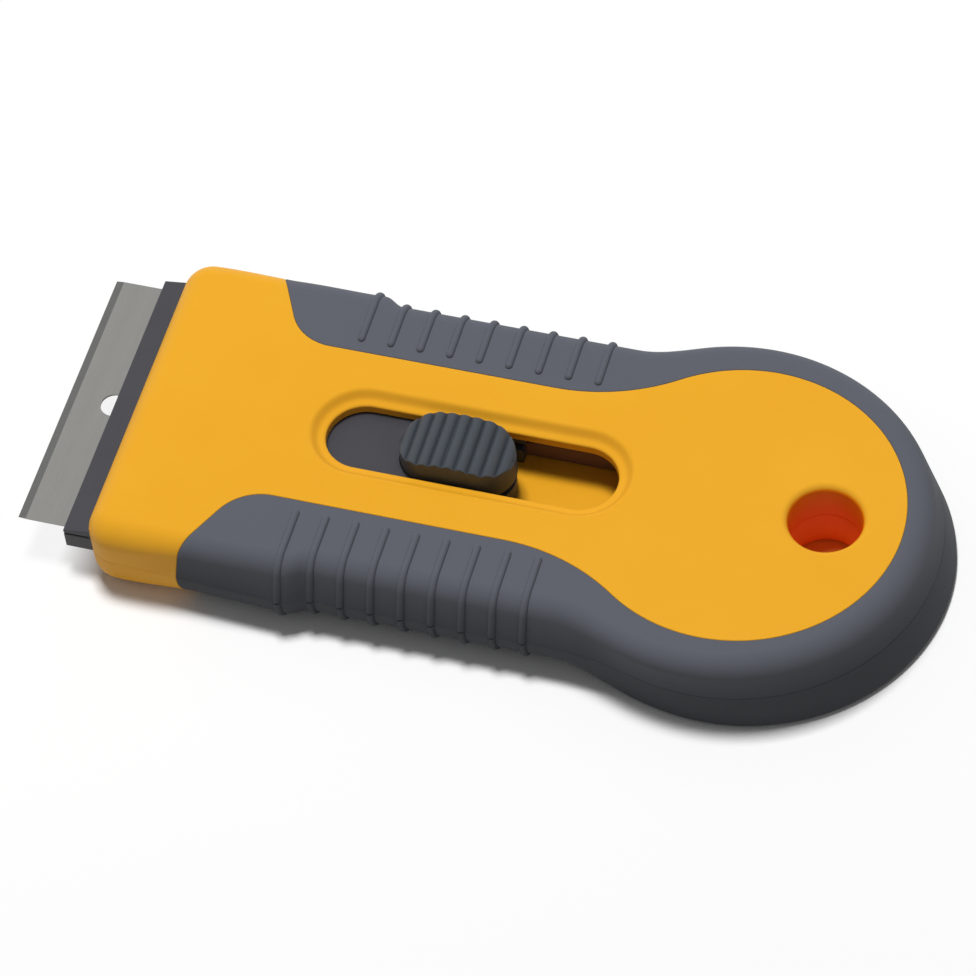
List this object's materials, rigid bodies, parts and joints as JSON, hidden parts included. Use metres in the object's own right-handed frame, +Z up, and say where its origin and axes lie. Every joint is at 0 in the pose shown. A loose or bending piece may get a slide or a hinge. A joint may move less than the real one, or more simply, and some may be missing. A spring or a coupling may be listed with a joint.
{
  "type": "razor blade scraper",
  "caption": "Hand scraper with a retractable single-edge razor blade: two-shell handle, soft ribbed grips, thumb button in a top slot and a hanging hole.",
  "frame": {"origin": "middle of the underside, half way between the blade's edge and the tail", "axes": "+X from the blade to the tail, +Y across the blade, +Z up from the underside to the thumb button"},
  "size_m": [0.1141, 0.051, 0.0127],
  "materials": {
    "shell": "satin",
    "grip": "matte",
    "slide": "satin",
    "clamp": "satin",
    "blade": "ground",
    "button": "satin",
    "fastener": "plated"
  },
  "bodies": {
    "handle": {"upper_shell": "shell", "lower_shell": "shell", "upper_grip": "grip", "lower_grip": "grip", "shell_screws": "fastener"},
    "slide": {"blade_carrier": "slide", "blade_clamp": "clamp", "razor_blade": "blade", "button_spring": "fastener"},
    "button": {"thumb_button": "button"}
  },
  "joints": [
    {"name": "blade_slide", "type": "slide", "parent": "handle", "child": "slide", "axis": [-1, 0, 0], "range_m": [-0.0128, 0.0093]},
    {"name": "button_press", "type": "slide", "parent": "slide", "child": "button", "axis": [0, 0, -1], "range_m": [0, 0.001], "stiffness_N_per_m": 3000, "deforming": ["button_spring"]}
  ]
}
